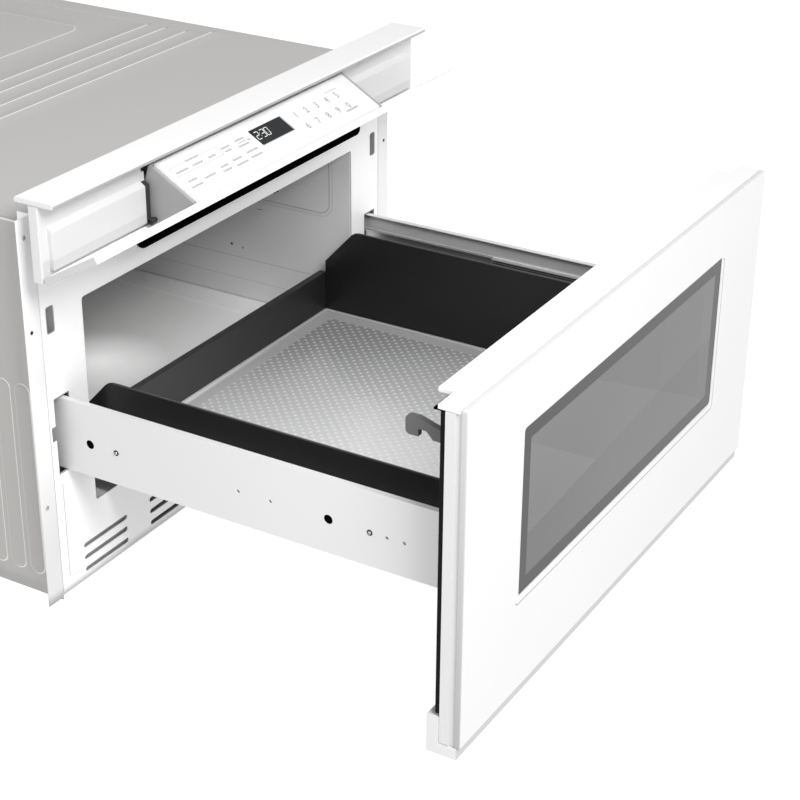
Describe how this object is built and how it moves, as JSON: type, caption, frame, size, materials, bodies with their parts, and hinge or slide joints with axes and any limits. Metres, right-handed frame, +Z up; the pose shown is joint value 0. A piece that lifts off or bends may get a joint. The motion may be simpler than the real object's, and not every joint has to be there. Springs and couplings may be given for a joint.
{
  "type": "microwave drawer",
  "caption": "Built-in microwave oven with a slide-out cooking drawer on telescopic rails and a control panel that tilts out above it.",
  "frame": {"origin": "middle of the underside of the cabinet's base plate", "axes": "+X to the object's right seen from its front, +Y to the back, +Z up"},
  "size_m": [0.6064, 0.9863, 0.4065],
  "materials": {
    "white_paint": "gloss white paint on steel",
    "white_moulding": "gloss white moulding",
    "galvanised_sheet": "warm grey coated steel sheet with a fine grain",
    "bright_steel": "bright rolled steel",
    "black_enamel": "satin black enamel",
    "grey_enamel": "light grey enamel",
    "cover_sheet": "pale matt sheet",
    "black_plastic": "satin black moulding",
    "grey_plastic": "mid grey moulding",
    "tray_glass": "pale dimpled glass",
    "window_tint": "dark tinted glass",
    "white_control_glass": "white back-painted glass",
    "display_black": "black display window",
    "aluminium": "plain aluminium",
    "winding_steel": "laminated steel core with a copper winding",
    "circuit_board": "green circuit board",
    "brass": "plain brass",
    "rubber": "black rubber"
  },
  "bodies": {
    "cabinet": {"outer_wrap": "galvanised_sheet", "base_plate": "galvanised_sheet", "back_panel": "galvanised_sheet", "front_plate": "white_paint", "left_mounting_flange": "white_paint", "right_mounting_flange": "white_paint", "top_visor": "white_paint", "bezel": "white_moulding", "reveal_strip": "black_plastic", "oven_cavity": "grey_enamel", "stirrer_cover": "cover_sheet", "waveguide": "galvanised_sheet", "stirrer_motor": "grey_plastic", "magnetron": "aluminium", "air_duct": "black_plastic", "fan_housing": "black_plastic", "fan_motor": "bright_steel", "transformer": "winding_steel", "capacitor": "aluminium", "power_board": "circuit_board", "cavity_stand": "galvanised_sheet", "lamp_holder": "brass", "cord_bushing": "rubber", "drive_motor": "bright_steel", "left_fixed_slide": "bright_steel", "right_fixed_slide": "bright_steel", "left_switch_block": "grey_plastic", "right_switch_block": "grey_plastic", "left_hinge_pin": "bright_steel", "right_hinge_pin": "bright_steel"},
    "stirrer": {"stirrer": "aluminium"},
    "fan": {"fan_blade": "grey_plastic"},
    "pinion": {"drive_pinion": "brass"},
    "left_rail": {"left_middle_slide": "bright_steel"},
    "right_rail": {"right_middle_slide": "bright_steel"},
    "drawer": {"left_side_member": "white_paint", "right_side_member": "white_paint", "left_drawer_slide": "bright_steel", "right_drawer_slide": "bright_steel", "left_latch_hook": "black_plastic", "right_latch_hook": "black_plastic", "left_tub_wall": "black_enamel", "right_tub_wall": "black_enamel", "rear_tub_wall": "black_enamel", "tub_floor": "black_enamel", "glass_tray": "tray_glass", "drive_rack": "bright_steel", "door_frame": "white_paint", "door_front_panel": "white_paint", "window_glass": "window_tint", "window_screen": "black_enamel", "inner_door": "black_plastic", "inner_window_glass": "window_tint", "door_bottom_trim": "white_moulding", "door_top_cap": "white_moulding"},
    "control_panel": {"panel_fascia": "white_paint", "panel_housing": "grey_plastic", "control_glass": "white_control_glass", "display_lens": "display_black", "control_board": "circuit_board"}
  },
  "joints": [
    {"name": "drawer_slide", "type": "slide", "parent": "cabinet", "child": "drawer", "axis": [0, 1, 0], "range_m": [0, 0.387]},
    {"name": "left_rail_slide", "type": "slide", "parent": "cabinet", "child": "left_rail", "axis": [0, 1, 0], "range_m": [0, 0.1935]},
    {"name": "right_rail_slide", "type": "slide", "parent": "cabinet", "child": "right_rail", "axis": [0, 1, 0], "range_m": [0, 0.1935]},
    {"name": "pinion_spin", "type": "hinge", "parent": "cabinet", "child": "pinion", "pos_m": [0.25435, -0.215, 0.1176], "axis": [-1, 0, 0], "range_deg": [0, 1232]},
    {"name": "panel_tilt", "type": "hinge", "parent": "cabinet", "child": "control_panel", "pos_m": [0, -0.3105, 0.3442], "axis": [-1, 0, 0], "range_deg": [0, 60]},
    {"name": "stirrer_spin", "type": "hinge", "parent": "cabinet", "child": "stirrer", "pos_m": [0, -0.06, 0.2775], "axis": [0, 0, 1], "continuous": true},
    {"name": "fan_spin", "type": "hinge", "parent": "cabinet", "child": "fan", "pos_m": [-0.154, 0.2637, 0.232], "axis": [0, 1, 0], "continuous": true}
  ],
  "couplings": [
    {"joint": "left_rail_slide", "follows": "drawer_slide", "ratio": 0.5},
    {"joint": "right_rail_slide", "follows": "drawer_slide", "ratio": 0.5},
    {"joint": "pinion_spin", "follows": "drawer_slide", "rad_per_m": 55.556}
  ]
}
